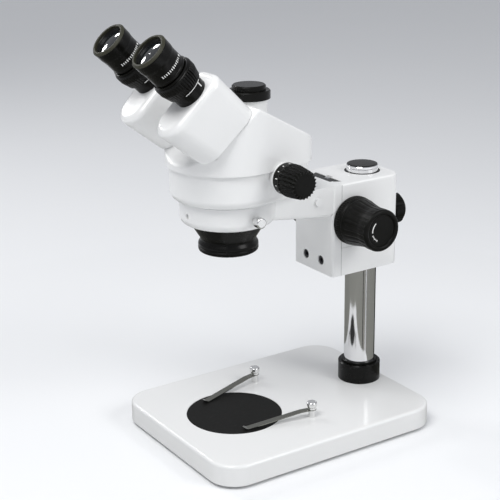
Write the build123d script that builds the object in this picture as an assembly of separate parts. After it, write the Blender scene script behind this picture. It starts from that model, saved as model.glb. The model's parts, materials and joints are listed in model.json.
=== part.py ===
from build123d import *
import math
import os

# Stereo zoom microscope on a pillar stand.
# Millimetres, +Z up.  The origin is on the pillar's axis, at the surface that the feet stand on.
# The user sits on the -Y side, and +X is the user's right.

# ---------------------------------------------------------------- base
base_width = 200.0
base_length = 255.0
base_thickness = 21.5
base_corner = 28.0
base_edge_round = 3.0
pillar_setback = 24.3            # pillar's axis to the base's rear edge
foot_radius = 10.0
foot_drop = 3.0                  # how far the feet stand out below the base
foot_pocket = 1.5
foot_inset = 24.0
stage_radius = 47.5
stage_thickness = 4.0
stage_reach = 157.0              # pillar's axis to the stage plate's centre
stage_gap = 0.25

# ---------------------------------------------------------------- stage clips
clip_spread = 51.3               # half the distance between the posts
clip_reach = 98.6                # pillar's axis to the posts
clip_shank_radius = 2.0
clip_thread_depth = 12.0
clip_spacer_radius = 3.6
clip_spacer_height = 7.4
clip_head_radius = 5.2
clip_head_height = 6.0
clip_collar_radius = 4.2
clip_collar_height = 1.8
leaf_length = 77.0
leaf_width = 7.0
leaf_thickness = 0.8
leaf_play = 0.2                  # clearance of the leaf above and below
leaf_toe_in = 11.3               # degrees that each leaf points inwards
leaf_lift = 0.4                  # gap under the leaf's lowest line
leaf_curl_length = 8.0
leaf_curl_height = 3.5

# ---------------------------------------------------------------- pillar
pillar_radius = 16.0
pillar_top = 255.0
pillar_socket = 3.0              # depth that the pillar sits in the base
bolt_radius = 5.0
bolt_reach = 30.0
bolt_head_radius = 8.0
bolt_head_height = 7.0
collar_radius = 22.0
collar_height = 22.2
collar_lip_radius = 18.6
collar_lip_height = 2.2
cap_radius = 14.2
cap_height = 3.0
cap_plug_radius = 12.5
cap_plug_depth = 8.0

# ---------------------------------------------------------------- fits
slide_fit = 0.05                 # radial clearance of shafts and sliding sleeves
held_fit = 0.02                  # radial clearance of pieces that stay put
face_gap = 0.3                   # clearance between faces that move past each other

# ---------------------------------------------------------------- focus block
block_width = 64.7
block_bottom = 157.0
block_top = 250.6
block_front = 49.5               # pillar's axis to the block's front face
block_rear = 25.5                # pillar's axis to the block's rear face
block_corner = 14.0
block_edge_round = 2.0
block_seam_height = 185.7
block_seam_size = 0.6
liner_wall = 2.0
liner_slot = 2.0
boss_radius = 10.0
boss_length = 9.5

# dovetail between the block and the bracket's front plate
dovetail_mouth = 34.0
dovetail_floor = 42.0
dovetail_depth = 7.0
dovetail_play = 0.12
gib_thickness = 1.4
slide_bar_length = 90.0
slide_bar_seat = 3.2             # depth of the bar's seat in the front plate

# ---------------------------------------------------------------- focus drive
pinion_module = 1.0
pinion_teeth = 10
pressure_angle = 25.0
tooth_height_share = 0.8         # addendum and the rack's depth in modules
mesh_backlash = 0.3
focus_height = 213.0             # pinion shaft above the floor
focus_shaft_radius = 3.5
pinion_half = 7.0
bush_radius = 6.0
bush_length = 18.0
rack_width = 8.0
rack_back = 4.0                  # rack's body behind the tooth roots
tension_length = 10.0
tension_radius = 24.4
tension_outer_radius = 23.6
knob_length = 35.5
knob_skirt_radius = 23.8
knob_waist_radius = 20.2
knob_rim_radius = 20.9
knob_rim_length = 9.0
knob_dish_radius = 15.5
knob_dish_depth = 3.2
knob_cap_thickness = 1.4
knob_web = 3.0                   # knob's end wall between the shaft and the dish

# ---------------------------------------------------------------- rear clamp
clamp_height = 204.0
clamp_plug_radius = 5.0
clamp_plug_length = 5.0
clamp_travel = 1.0
clamp_stud_radius = 4.0
clamp_boss_radius = 9.0
clamp_boss_length = 5.5
clamp_knob_radius = 16.4
clamp_knob_length = 16.0
clamp_knob_lobes = 6
clamp_lobe_depth = 2.0

# ---------------------------------------------------------------- head bracket
optical_reach = 160.5            # pillar's axis to the optical axis
plate_thickness = 10.4
plate_edge_round = 3.0
ring_bore_radius = 38.0
ring_radius = 46.0
ring_bottom = 227.0
ring_edge_round = 7.5
arm_half_width = 31.5
arm_root_drop = 31.6             # arm's depth at the front plate
arm_tip_drop = 22.5              # arm's depth at the ring
plate_screw_spread = 12.5
plate_screw_height = 170.0
plate_screw_radius = 2.5
plate_screw_head = 4.6
set_screw_radius = 2.5
ring_screw_height = 239.0
ring_screw_turn = -87.0          # degrees from +X round the optical axis
arm_screw_reach = 78.0
arm_screw_stand = 2.5
thumb_height = 238.0
thumb_plug_length = 3.0
thumb_radius = 5.2
thumb_head_length = 9.0
thumb_neck_length = 3.5

# ---------------------------------------------------------------- zoom head
head_gap = 0.6                   # between the ring's top and the head
head_radius = 54.5
head_rear = 70.5                 # optical axis to the head's rear face
head_rear_half = 45.5
head_corner = 20.0
head_wall = 3.0
head_floor = 3.3
head_edge_round = 8.0
head_seam = 284.0
seam_gap = 0.3
cover_overhang = 3.5
cover_tilt_offset = 358.6        # cover's 45 degree face, along the eye tubes from the origin
cover_rear_top = 304.0
cover_rear_slope = 28.4          # degrees of the top that falls to the rear
cover_edge_round = 3.0
neck_radius = 37.9
neck_bottom = 230.0
neck_bore = 33.5
objective_top_radius = 36.6
objective_waist_radius = 26.7
objective_waist_height = 210.5
objective_flare_radius = 28.9
objective_bottom = 198.0
objective_wall = 2.4
filter_thread_radius = 23.6
filter_thread_length = 5.0
channel_spread = 13.0            # half the distance between the two light paths
lens_plate_thickness = 3.0
lens_seat_radius = 9.9
lens_edge = 3.0
lens_bulge = 1.2
body_screw_radius = 1.5
body_screw_head = 3.0
body_boss_radius = 4.6
body_boss_rise = 8.0
body_boss_half = 34.0
body_boss_reach = 56.0           # rear bosses behind the optical axis
body_boss_front = 46.0           # front boss ahead of the optical axis

# ---------------------------------------------------------------- zoom drive
zoom_height = 277.0
zoom_offset = 26.0               # shaft behind the optical axis
zoom_module = 0.8
zoom_teeth = 10
zoom_shaft_radius = 3.0
zoom_shaft_half = 87.0
zoom_pinion_half = 5.0
zoom_boss_radius = 14.0
zoom_boss_face = 58.5
zoom_knob_inner = 58.9
zoom_knob_length = 31.0
zoom_knob_radius = 15.6
zoom_knob_tip_radius = 13.6
rod_radius = 2.5
rod_half = 30.0
rod_offset = 20.5                # rods behind the optical axis
rod_top = 316.0
rod_bridge_thickness = 3.0
rod_lug_radius = 6.0
carriage_height = 296.0
carriage_thickness = 3.0
carriage_cell_radius = 10.5
carriage_cell_height = 6.0
carriage_leg_bottom = 262.0
carriage_leg_half = 3.0
carriage_leg_back = 3.5

# ---------------------------------------------------------------- eye side
eye_half = 36.5                  # half the eye distance at rest
eye_line = 101.3                 # eye tube axis above the origin, square to its own direction
eye_tilt = 45.0
pivot_drop = 22.9                # pod pivot below the eye tube axis, along the tilted face
pivot_shift = 2.0                # pivot inside the eye tube axis
pod_front_drop = 28.4            # pod's lower round end below the eye tube axis, at its front
pod_rear_drop = 21.4             # the same at its rear
pod_top_radius = 14.0            # round corners of the pod's upper end
pod_top_half = 6.5               # from the eye tube axis to the middle of each corner
pod_top_rise = 11.4
pod_low_radius = 18.7
pod_face = 410.7                 # along the eye tubes from the origin
pod_edge_round = 6.0
pod_wall = 2.5
pod_gap = 0.4
pod_spigot_radius = 11.0
pod_spigot_bore = 8.6
prism_half = 8.5
eye_bore_radius = 13.5
sleeve_neck_radius = 15.3
sleeve_neck_length = 12.1
sleeve_web = 1.3
sleeve_radius = 16.7
sleeve_top = 432.7
carrier_radius = 15.9
carrier_bottom = 424.5
carrier_flange_radius = 18.2
carrier_flange_length = 1.8
ring_lip_length = 4.4
diopter_bottom = 421.3
diopter_low_radius = 17.9
diopter_radius = 19.9
diopter_taper = 8.0
diopter_wall_inner = 17.0
diopter_top = 438.2
barrel_radius = 15.0
barrel_bottom = 425.0
barrel_wall = 1.8
eyepiece_radius = 17.0
rim_start = 457.8
rim_radius = 18.2
eyepiece_top = 470.0
cup_radius = 15.6
cup_depth = 4.5
eye_lens_radius = 12.5

# ---------------------------------------------------------------- third port
port_offset = 25.5               # port's axis behind the optical axis
port_radius = 17.25
port_wall = 3.2
port_bottom = 318.0
port_top = 341.2
port_cap_flange_radius = 20.2
port_cap_flange_height = 8.0
port_cap_disc_radius = 16.0
port_cap_disc_height = 5.0
port_cap_plug_length = 8.0

# ---------------------------------------------------------------- derived places
base_top = foot_drop + base_thickness
base_middle_y = pillar_setback - base_length / 2
stage_y = -stage_reach
axis_y = -optical_reach
block_front_y = -block_front
dovetail_floor_y = block_front_y + dovetail_depth
plate_rear_y = block_front_y - face_gap
plate_front_y = plate_rear_y - plate_thickness
bracket_top = block_top
head_bottom = bracket_top + head_gap
pinion_radius = pinion_module * pinion_teeth / 2
rack_line_y = dovetail_floor_y + 1.5
focus_y = rack_line_y + pinion_radius
liner_radius = pillar_radius + slide_fit + liner_wall
zoom_y = axis_y + zoom_offset
zoom_pitch_radius = zoom_module * zoom_teeth / 2
rod_y = axis_y + rod_offset
port_y = axis_y + port_offset
pod_rear = cover_tilt_offset + pod_gap
prism_start = pod_rear + pod_wall + held_fit
pivot_half = eye_half - pivot_shift
pivot_line = eye_line - pivot_drop
tilt_sin = math.sin(math.radians(eye_tilt))
tilt_cos = math.cos(math.radians(eye_tilt))
spacer_top = base_top + clip_spacer_height
leaf_bottom = spacer_top + leaf_play
clip_collar_bottom = leaf_bottom + leaf_thickness + leaf_play
knob_outer = block_width / 2 + face_gap + tension_length + face_gap + knob_length
focus_shaft_half = knob_outer - knob_dish_depth - knob_web
sides = (1, -1)


# ---------------------------------------------------------------- small helpers
def disc(radius, low, high, x=0.0, y=0.0):
    """Vertical cylinder between two heights."""
    return Pos(x, y, (low + high) / 2) * Cylinder(radius, high - low)


def rod_x(radius, start, end, y, z):
    """Cylinder along X between two places."""
    return Pos((start + end) / 2, y, z) * Rot(0, 90, 0) * Cylinder(radius, abs(end - start))


def rod_y_way(radius, start, end, x, z):
    """Cylinder along Y between two places."""
    return Pos(x, (start + end) / 2, z) * Rot(90, 0, 0) * Cylinder(radius, abs(end - start))


def block_between(x0, x1, y0, y1, z0, z1):
    """Box between two corners."""
    return Pos((x0 + x1) / 2, (y0 + y1) / 2, (z0 + z1) / 2) * Box(abs(x1 - x0), abs(y1 - y0), abs(z1 - z0))


def turned(points, axis=Axis.Z):
    """Solid of revolution from (radius, height) points."""
    outline = make_face(Polyline(*[(r, 0, h) for r, h in points], close=True))
    return revolve(outline, axis)


def turned_x(points, y, z):
    """Solid of revolution about an X-way axis from (radius, place along X) points."""
    outline = make_face(Polyline(*[(h, r, 0) for r, h in points], close=True))
    return Pos(0, y, z) * revolve(outline, Axis.X)


def turned_y(points, x, z):
    """Solid of revolution about a Y-way axis from (radius, place along Y) points."""
    outline = make_face(Polyline(*[(r, h, 0) for r, h in points], close=True))
    return Pos(x, 0, z) * revolve(outline, Axis.Y)


def eye_plane(x, line, along):
    """Plane square to the eye tubes: its local X is +X and its normal points up the tube."""
    y = line * tilt_cos - along * tilt_sin
    z = line * tilt_sin + along * tilt_cos
    return Plane(origin=(x, y, z), x_dir=(1, 0, 0), z_dir=(0, -tilt_sin, tilt_cos))


def eye_turned(x, line, points):
    """Solid of revolution about an eye tube axis from (radius, place along the tube) points."""
    return eye_plane(x, line, 0).location * turned(points)


def lens(radius, edge, bulge):
    """Biconvex lens on the XY plane: a cylindrical edge and two spherical faces."""
    sphere_radius = (radius ** 2 + bulge ** 2) / (2 * bulge)
    depth = sphere_radius - bulge - edge / 2
    body = Cylinder(radius, edge + 2 * bulge)
    return body & Pos(0, 0, -depth) * Sphere(sphere_radius) & Pos(0, 0, depth) * Sphere(sphere_radius)


def socket_head(radius, low, high, x, y):
    """Cap screw head that faces down, with a hexagon socket."""
    hexagon = extrude(Pos(x, y, low) * RegularPolygon(radius * 0.55, 6), (high - low) * 0.6)
    return disc(radius, low, high, x, y) - hexagon


# ---------------------------------------------------------------- gear and rack
def involute_point(base, radius):
    """Turn about the centre, in radians, at which the involute of a base circle reaches a radius."""
    roll = math.sqrt(max((radius / base) ** 2 - 1, 0.0))
    return roll - math.atan(roll)


def spur_outline(module, teeth):
    """Pinion outline with involute flanks and half of the backlash; one tooth points to local +X."""
    angle = math.radians(pressure_angle)
    pitch = module * teeth / 2
    base = pitch * math.cos(angle)
    tip = pitch + tooth_height_share * module
    root = pitch - (tooth_height_share + 0.25) * module
    half_tooth = (math.pi * module / 2 - mesh_backlash / 2) / 2 / pitch
    flank_start = half_tooth + involute_point(base, pitch)
    steps = 6
    radii = [base + (tip - base) * i / steps for i in range(steps + 1)]
    flank = [(r, flank_start - involute_point(base, r)) for r in radii]
    points = []
    for tooth in range(teeth):
        middle = 2 * math.pi * tooth / teeth
        points.append((root, middle - flank_start))
        points += [(r, middle - a) for r, a in flank]
        points += [(r, middle + a) for r, a in reversed(flank)]
        points.append((root, middle + flank_start))
    return Polyline(*[(r * math.cos(a), r * math.sin(a)) for r, a in points], close=True)


def pinion_solid(module, teeth, half, y, z):
    """Pinion along X whose first tooth points to -Y."""
    facing = Plane(origin=(-half, y, z), x_dir=(0, -1, 0), z_dir=(1, 0, 0))
    return extrude(facing * make_face(spur_outline(module, teeth)), 2 * half)


def rack_solid(module, half, line_y, mesh_z, low, high, back):
    """Vertical rack with teeth towards +Y and a gap at the mesh height."""
    pitch = math.pi * module
    tip = tooth_height_share * module
    root = (tooth_height_share + 0.25) * module
    slope = math.tan(math.radians(pressure_angle))
    half_tooth = (pitch - mesh_backlash) / 4
    first = math.ceil((low - mesh_z) / pitch + 0.5)
    last = math.floor((high - mesh_z) / pitch - 0.5)
    points = [(line_y - root - back, low), (line_y - root, low)]
    for step in range(first, last):
        middle = mesh_z + (step + 0.5) * pitch
        points.append((line_y - root, middle - half_tooth - root * slope))
        points.append((line_y + tip, middle - half_tooth + tip * slope))
        points.append((line_y + tip, middle + half_tooth - tip * slope))
        points.append((line_y - root, middle + half_tooth + root * slope))
    points += [(line_y - root, high), (line_y - root - back, high)]
    outline = make_face(Polyline(*[(-half, y, z) for y, z in points], close=True))
    return extrude(outline, 2 * half, dir=(1, 0, 0))


# ---------------------------------------------------------------- base group
def foot_places():
    """Centres of the four feet."""
    x = base_width / 2 - foot_inset
    y = base_length / 2 - foot_inset
    return [(sx * x, base_middle_y + sy * y) for sx in sides for sy in sides]


def clip_places():
    """Centres of the two clip posts, right first."""
    return [(side * clip_spread, -clip_reach) for side in sides]


def base_plate():
    outline = Pos(0, base_middle_y, foot_drop) * RectangleRounded(base_width, base_length, base_corner)
    slab = extrude(outline, base_thickness)
    slab = fillet(slab.faces().sort_by(Axis.Z)[-1].edges(), base_edge_round)
    slab = fillet(slab.faces().sort_by(Axis.Z)[0].edges(), base_edge_round / 3)
    slab -= disc(stage_radius + stage_gap, base_top - stage_thickness, base_top + 1, 0, stage_y)
    slab -= disc(pillar_radius + held_fit, base_top - pillar_socket, base_top + 1)
    slab -= disc(bolt_radius + held_fit, foot_drop - 1, base_top)
    slab -= disc(bolt_head_radius + 1, foot_drop - 1, foot_drop + bolt_head_height + 1)
    for x, y in foot_places():
        slab -= disc(foot_radius + held_fit, foot_drop - 1, foot_drop + foot_pocket, x, y)
    for x, y in clip_places():
        slab -= disc(clip_shank_radius + held_fit, base_top - clip_thread_depth, base_top + 1, x, y)
    return slab


def base_feet():
    feet = []
    for x, y in foot_places():
        foot = disc(foot_radius, 0, foot_drop + foot_pocket, x, y)
        feet.append(chamfer(foot.faces().sort_by(Axis.Z)[0].edges(), 0.8))
    return Compound(feet)


def stage_plate():
    plate = disc(stage_radius, base_top - stage_thickness, base_top, 0, stage_y)
    return chamfer(plate.faces().sort_by(Axis.Z)[-1].edges(), 0.4)


def clip_posts():
    posts = []
    top = clip_collar_bottom + clip_collar_height
    for x, y in clip_places():
        shank = disc(clip_shank_radius, base_top - clip_thread_depth, top, x, y)
        collar = disc(clip_collar_radius, clip_collar_bottom, top, x, y)
        head = disc(clip_head_radius, top, top + clip_head_height, x, y)
        head = fillet(head.edges(), clip_head_height * 0.3)
        posts.append(shank + collar + head)
    return Compound(posts)


def clip_spacers():
    spacers = []
    for x, y in clip_places():
        tube = disc(clip_spacer_radius, base_top, spacer_top, x, y)
        spacers.append(tube - disc(clip_shank_radius + held_fit, base_top - 1, spacer_top + 1, x, y))
    return Compound(spacers)


def clip_leaf(side):
    """Spring strip from the post to the stage, with its tip curled up."""
    x, y = side * clip_spread, -clip_reach
    low = base_top + leaf_lift
    shoulder = 12.0
    heel = -leaf_width / 2 - 1
    lower = [(heel, leaf_bottom), (shoulder, leaf_bottom), (leaf_length - leaf_curl_length, low),
             (leaf_length, low + leaf_curl_height)]
    upper = [(s, z + leaf_thickness) for s, z in reversed(lower)]
    profile = make_face(Polyline(*[(-leaf_width / 2, -s, z) for s, z in lower + upper], close=True))
    strip = extrude(profile, leaf_width, dir=(1, 0, 0))
    plan = Rectangle(leaf_width, leaf_length - leaf_width) + Pos(0, -(leaf_length - leaf_width) / 2) * Circle(
        leaf_width / 2)
    plan += Pos(0, (leaf_length - leaf_width) / 2) * Circle(leaf_width / 2 + 1)
    plan = Pos(0, -(leaf_length - leaf_width) / 2) * plan
    strip &= extrude(Pos(0, 0, base_top) * plan, 20)
    strip -= disc(clip_shank_radius + slide_fit, base_top, leaf_bottom + 5)
    return Pos(x, y, 0) * Rot(0, 0, -side * leaf_toe_in) * strip


def pillar():
    bottom = base_top - pillar_socket
    post = disc(pillar_radius, bottom, pillar_top)
    post = chamfer(post.faces().sort_by(Axis.Z)[-1].edges(), 0.8)
    post -= disc(bolt_radius + held_fit, bottom - 1, bottom + bolt_reach)
    post -= disc(cap_plug_radius + held_fit, pillar_top - cap_plug_depth - 1, pillar_top + 1)
    return post


def pillar_collar():
    lip_start = base_top + collar_height - collar_lip_height
    inner = pillar_radius + held_fit
    return turned([
        (inner, base_top), (collar_radius, base_top), (collar_radius, lip_start - 1),
        (collar_radius - 1, lip_start), (collar_lip_radius, lip_start),
        (collar_lip_radius, base_top + collar_height - 0.6),
        (collar_lip_radius - 0.6, base_top + collar_height),
        (inner, base_top + collar_height)])


def pillar_cap():
    return turned([
        (0, pillar_top - cap_plug_depth), (cap_plug_radius, pillar_top - cap_plug_depth),
        (cap_plug_radius, pillar_top), (cap_radius, pillar_top), (cap_radius, pillar_top + cap_height - 0.8),
        (cap_radius - 0.8, pillar_top + cap_height), (0, pillar_top + cap_height)])


def pillar_bolt():
    head_top = foot_drop + bolt_head_height + 1
    shank = disc(bolt_radius, head_top, base_top - pillar_socket + bolt_reach - 5)
    return shank + socket_head(bolt_head_radius, foot_drop + 1, head_top, 0, 0)


# ---------------------------------------------------------------- block on the pillar
def bore_liner():
    low = block_bottom + face_gap
    high = block_top - face_gap
    tube = disc(liner_radius, low, high) - disc(pillar_radius + slide_fit, low - 1, high + 1)
    slot = block_between(-liner_radius - 1, -pillar_radius + 2, -liner_slot / 2, liner_slot / 2, low - 1,
                         high + 1)
    return tube - slot


def dovetail_outline(spare, extra_right, deep):
    """Undercut outline: flanks moved in by spare, the right one moved out, the floor at deep."""
    mouth = dovetail_mouth / 2 - spare
    floor = dovetail_floor / 2 - spare
    return [(-mouth, block_front_y), (-floor, deep), (floor + extra_right, deep),
            (mouth + extra_right, block_front_y)]


def prism_up(points, low, high):
    """Vertical prism from (x, y) points."""
    return extrude(make_face(Polyline(*[(x, y, low) for x, y in points], close=True)), high - low)


def focus_block():
    block = block_between(-block_width / 2, block_width / 2, block_front_y, block_rear, block_bottom,
                          block_top)
    rear_edges = block.edges().filter_by(Axis.Z).group_by(Axis.Y)[-1]
    block = fillet(rear_edges, block_corner)
    top_edges = block.faces().sort_by(Axis.Z)[-1].edges().filter_by(
        lambda e: e.center().Y > block_front_y + 1)
    block = fillet(top_edges, block_edge_round)
    block += rod_x(boss_radius, -block_width / 2 - boss_length, block_width / 2 + boss_length, focus_y,
                   focus_height)
    block += rod_y_way(clamp_boss_radius, block_rear - 2, block_rear + clamp_boss_length, 0, clamp_height)
    block -= disc(liner_radius + slide_fit, block_bottom - 1, block_top + 1)
    block -= prism_up(dovetail_outline(0, gib_thickness + dovetail_play, dovetail_floor_y),
                      block_bottom - 1, block_top + 1)
    rack_tip_y = rack_line_y + tooth_height_share * pinion_module
    block -= block_between(-rack_width / 2 - 0.6, rack_width / 2 + 0.6, dovetail_floor_y - 1,
                           rack_tip_y + 0.8,
                           block_bottom - 1, block_top + 1)
    chamber = pinion_radius + pinion_module * tooth_height_share + 0.8
    block -= rod_x(chamber, -pinion_half - 1, pinion_half + 1, focus_y, focus_height)
    block -= rod_x(bush_radius, -block_width, block_width, focus_y, focus_height)
    pocket_end = liner_radius + clamp_plug_length + clamp_travel + face_gap
    block -= rod_y_way(clamp_plug_radius + slide_fit, 0, pocket_end, 0, clamp_height)
    block -= rod_y_way(clamp_stud_radius + slide_fit, 0, block_rear + clamp_boss_length + 1, 0, clamp_height)
    for side in sides:
        x = side * block_width / 2
        block -= block_between(x - block_seam_size, x + block_seam_size, block_front_y,
                               block_rear - block_corner, block_seam_height - block_seam_size / 2,
                               block_seam_height + block_seam_size / 2)
    return block


def gib_strip():
    mouth = dovetail_mouth / 2 + dovetail_play
    floor = dovetail_floor / 2
    front_y = block_front_y + dovetail_play
    deep_y = dovetail_floor_y - dovetail_play
    points = [(mouth, front_y), (floor, deep_y), (floor + gib_thickness, deep_y),
              (mouth + gib_thickness, front_y)]
    return prism_up(points, block_bottom + 2, block_top - 2)


def pinion_bushes():
    bushes = []
    for side in sides:
        outer = side * (block_width / 2 + boss_length)
        inner = outer - side * bush_length
        bush = rod_x(bush_radius, inner, outer, focus_y, focus_height)
        bushes.append(bush - rod_x(focus_shaft_radius + slide_fit, inner - side, outer + side, focus_y,
                                   focus_height))
    return Compound(bushes)


def clamp_plug():
    start = liner_radius + slide_fit
    return rod_y_way(clamp_plug_radius, start, start + clamp_plug_length, 0, clamp_height)


def clamp_stud():
    start = liner_radius + slide_fit + clamp_plug_length + slide_fit
    return rod_y_way(clamp_stud_radius, start, block_rear + clamp_boss_length + clamp_knob_length * 0.6, 0,
                     clamp_height)


def clamp_knob():
    """Round knob with scalloped sides, held on the stud."""
    start = block_rear + clamp_boss_length + face_gap
    end = start + clamp_knob_length
    knob = turned_y([(0, start), (clamp_knob_radius * 0.6, start), (clamp_knob_radius, start + 3),
                     (clamp_knob_radius, end - 3), (clamp_knob_radius - 3, end), (0, end)], 0, clamp_height)
    scallop = math.pi * clamp_knob_radius / clamp_knob_lobes / 2.4
    ring = clamp_knob_radius + scallop - clamp_lobe_depth
    for lobe in range(clamp_knob_lobes):
        turn = 2 * math.pi * lobe / clamp_knob_lobes
        knob -= rod_y_way(scallop, start - 1, end + 1, ring * math.sin(turn),
                          clamp_height + ring * math.cos(turn))
    return knob - rod_y_way(clamp_stud_radius + held_fit, start - 1, block_rear + clamp_boss_length
                            + clamp_knob_length * 0.6, 0, clamp_height)


# ---------------------------------------------------------------- focus drive
def pinion_shaft():
    shaft = rod_x(focus_shaft_radius, -focus_shaft_half, focus_shaft_half, focus_y, focus_height)
    return shaft + pinion_solid(pinion_module, pinion_teeth, pinion_half, focus_y, focus_height)


def tension_ring():
    start = block_width / 2 + face_gap
    end = start + tension_length
    inner = boss_radius + slide_fit
    return turned_x([(inner, start), (tension_radius - 1, start), (tension_radius, start + 1),
                     (tension_radius, start + 5), (tension_outer_radius, end), (inner, end)],
                    focus_y, focus_height)


def focus_knob(side):
    """Ribbed knob: a wide skirt, a waist and a raised rim with a dish in its end."""
    outer = side * knob_outer
    inner = outer - side * knob_length
    hub = focus_shaft_radius + held_fit
    shaft_end = side * focus_shaft_half
    dish = outer - side * knob_dish_depth
    points = [(hub, inner), (knob_skirt_radius, inner), (knob_waist_radius + 1.6, inner + side * 9),
              (knob_waist_radius + 0.3, inner + side * 17), (knob_waist_radius, inner + side * 22),
              (knob_rim_radius, outer - side * knob_rim_length), (knob_rim_radius, outer - side * 1.2),
              (knob_rim_radius - 1.2, outer), (knob_dish_radius, outer), (knob_dish_radius, dish),
              (0, dish), (0, shaft_end), (hub, shaft_end)]
    knob = turned_x(points, focus_y, focus_height)
    if side < 0:
        skirt_end = -block_width / 2 - face_gap
        skirt = rod_x(tension_radius, skirt_end, inner, focus_y, focus_height)
        clear = rod_x(boss_radius + 1, skirt_end + 1, -block_width / 2 - boss_length - face_gap, focus_y,
                      focus_height)
        shaft_way = rod_x(hub, skirt_end + 1, inner - 1, focus_y, focus_height)
        knob = knob + skirt - clear - shaft_way
    return knob


def focus_knob_caps():
    caps = []
    for side in sides:
        seat = side * (knob_outer - knob_dish_depth)
        caps.append(rod_x(knob_dish_radius - held_fit, seat, seat + side * knob_cap_thickness, focus_y,
                          focus_height))
    return Compound(caps)


# ---------------------------------------------------------------- head bracket
def head_bracket():
    """Front plate, arm and split-line ring cast in one."""
    half = block_width / 2
    plate = block_between(-half, half, plate_front_y, plate_rear_y, block_bottom, bracket_top)
    plate = fillet(plate.edges().filter_by(Axis.Z).group_by(Axis.Y)[0], plate_edge_round)
    ring = disc(ring_radius, ring_bottom, bracket_top, 0, axis_y)
    ring = fillet(ring.faces().sort_by(Axis.Z)[0].edges(), ring_edge_round)
    arm_end_y = axis_y + ring_radius * 0.6
    side_outline = Polyline((-arm_half_width, plate_front_y + 1, bracket_top),
                            (-arm_half_width, plate_front_y + 1, bracket_top - arm_root_drop),
                            (-arm_half_width, arm_end_y, bracket_top - arm_tip_drop),
                            (-arm_half_width, arm_end_y, bracket_top), close=True)
    arm = extrude(make_face(side_outline), 2 * arm_half_width, dir=(1, 0, 0))
    arm = fillet(arm.edges().filter_by(lambda e: abs(abs(e.center().X) - arm_half_width) < 0.01
                                       and abs(e.tangent_at(0.5).Y) > 0.8
                                       and e.center().Z < bracket_top - 5), 4.0)
    casting = plate + arm + ring
    casting -= disc(ring_bore_radius, ring_bottom - 1, bracket_top + 1, 0, axis_y)
    seat = dovetail_mouth / 2 - dovetail_play + held_fit
    casting -= block_between(-seat, seat, plate_rear_y - slide_bar_seat, plate_rear_y + 1, block_bottom - 1,
                             bracket_top + 1)
    for x in (-plate_screw_spread, plate_screw_spread):
        casting -= rod_y_way(plate_screw_radius + held_fit, plate_front_y - 1, plate_rear_y, x,
                             plate_screw_height)
        casting -= rod_y_way(plate_screw_head + 0.2, plate_front_y - 1, plate_front_y + 4, x,
                             plate_screw_height)
    casting -= ring_hole()
    casting -= rod_x(set_screw_radius + slide_fit, ring_bore_radius - 5, ring_radius + 5, axis_y,
                     thumb_height)
    casting -= rod_x(set_screw_radius + held_fit, arm_half_width - 8, arm_half_width + 1, -arm_screw_reach,
                     thumb_height)
    return casting


def ring_hole():
    """Radial hole for the ring's set screw."""
    way = Pos(0, axis_y, ring_screw_height) * Rot(0, 0, ring_screw_turn) * Rot(0, 90, 0)
    return way * Pos(0, 0, ring_radius - 4) * Cylinder(set_screw_radius + held_fit, 12)


def dovetail_slide():
    front = plate_rear_y - slide_bar_seat
    mouth = dovetail_mouth / 2 - dovetail_play
    outline = dovetail_outline(dovetail_play, 0, dovetail_floor_y - dovetail_play)
    bar = prism_up(outline, bracket_top - slide_bar_length, bracket_top - 0.6)
    bar += block_between(-mouth, mouth, front, block_front_y, bracket_top - slide_bar_length,
                         bracket_top - 0.6)
    groove_front = rack_line_y - (tooth_height_share + 0.25) * pinion_module - rack_back
    bar -= block_between(-rack_width / 2 - held_fit, rack_width / 2 + held_fit, groove_front,
                         dovetail_floor_y + 1,
                         block_bottom, bracket_top + 1)
    for x in (-plate_screw_spread, plate_screw_spread):
        bar -= rod_y_way(plate_screw_radius + held_fit, front - 1, front + 6.5, x, plate_screw_height)
    return bar


def focus_rack():
    return rack_solid(pinion_module, rack_width / 2, rack_line_y, focus_height,
                      bracket_top - slide_bar_length + 2, bracket_top - 1, rack_back)


def plate_screws():
    screws = []
    for x in (-plate_screw_spread, plate_screw_spread):
        head_back = plate_front_y + 4
        shank = rod_y_way(plate_screw_radius, head_back, plate_rear_y - slide_bar_seat + 6, x,
                          plate_screw_height)
        head = rod_y_way(plate_screw_head, plate_front_y + 1.2, head_back, x, plate_screw_height)
        socket = Plane(origin=(x, plate_front_y + 1.2, plate_screw_height), z_dir=(0, 1, 0))
        screws.append(shank + head - extrude(socket * RegularPolygon(plate_screw_head * 0.5, 6), 1.6))
    return Compound(screws)


def bracket_screws():
    """Set screws of the ring and of the arm."""
    way = Pos(0, axis_y, ring_screw_height) * Rot(0, 0, ring_screw_turn) * Rot(0, 90, 0)
    in_ring = way * Pos(0, 0, ring_radius - 5) * Cylinder(set_screw_radius, 5)
    in_ring -= way * extrude(Pos(0, 0, ring_radius - 4) * RegularPolygon(1.4, 6), 3)
    arm_end = arm_half_width + arm_screw_stand
    in_arm = rod_x(set_screw_radius, arm_half_width - 7, arm_end, -arm_screw_reach, thumb_height)
    in_arm += rod_x(set_screw_radius + 1.4, arm_half_width, arm_end, -arm_screw_reach, thumb_height)
    return Compound([in_ring, in_arm])


def thumb_plug():
    start = ring_bore_radius + 0.1
    return rod_x(set_screw_radius, start, start + thumb_plug_length, axis_y, thumb_height)


def thumb_screw():
    start = ring_bore_radius + 0.1 + thumb_plug_length + slide_fit
    neck_end = ring_radius + thumb_neck_length
    screw = rod_x(set_screw_radius, start, neck_end + 1, axis_y, thumb_height)
    head = rod_x(thumb_radius, neck_end, neck_end + thumb_head_length, axis_y, thumb_height)
    return screw + fillet(head.edges(), 1.4)


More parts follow.
